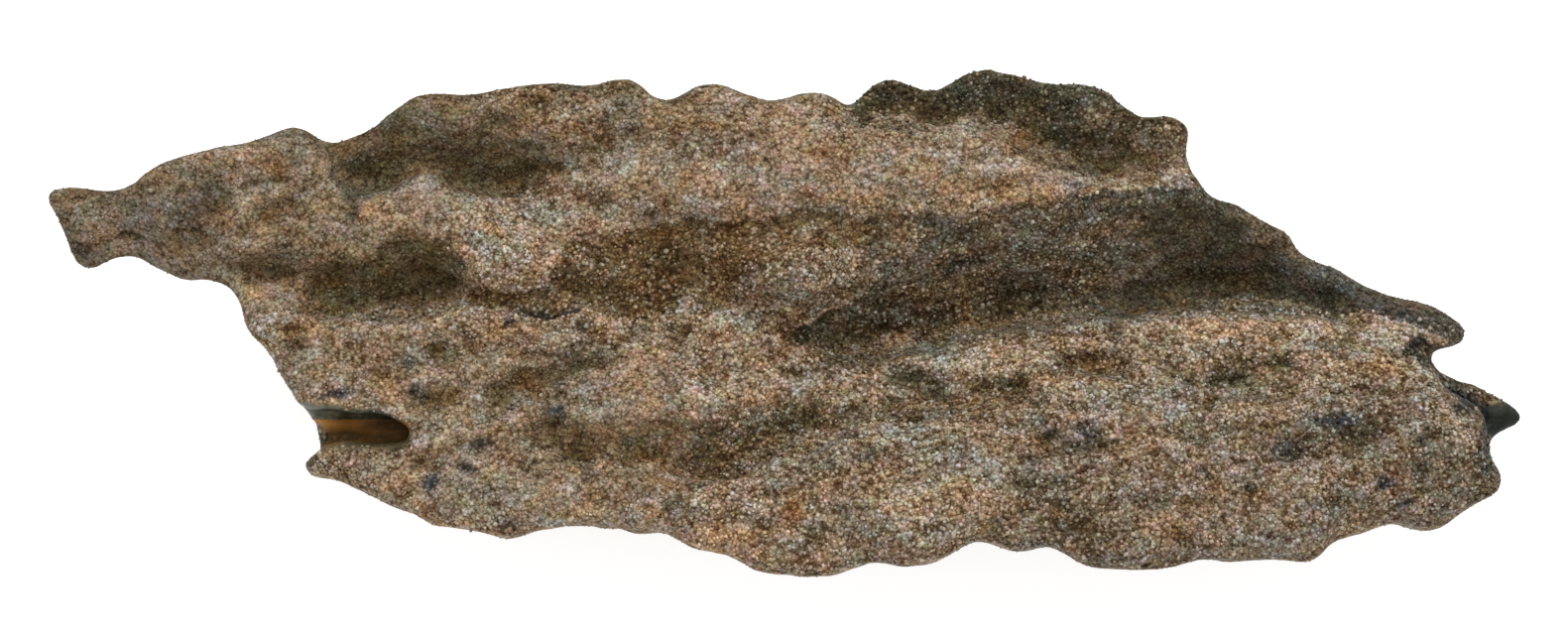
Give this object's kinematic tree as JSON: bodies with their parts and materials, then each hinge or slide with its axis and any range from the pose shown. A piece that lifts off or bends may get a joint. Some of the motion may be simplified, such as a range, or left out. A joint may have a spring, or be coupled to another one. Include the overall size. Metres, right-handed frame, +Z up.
{
  "type": "fulgurite",
  "caption": "Natural fulgurite: a flattened tube of lightning-fused sand with a wavy wing, long furrows, fins and a narrow bore, lying on its back.",
  "frame": {"origin": "centre of the bounding box in X and Y, on the ground that the back rests on", "axes": "+X along the tube towards its broken open end, +Y from the belly to the wing, +Z up out of the front"},
  "size_m": [0.0896, 0.0306, 0.0178],
  "materials": {
    "sand_crust": "rough, granular sand crust"
  },
  "bodies": {
    "root": {"fulgurite": "sand_crust"}
  },
  "joints": []
}
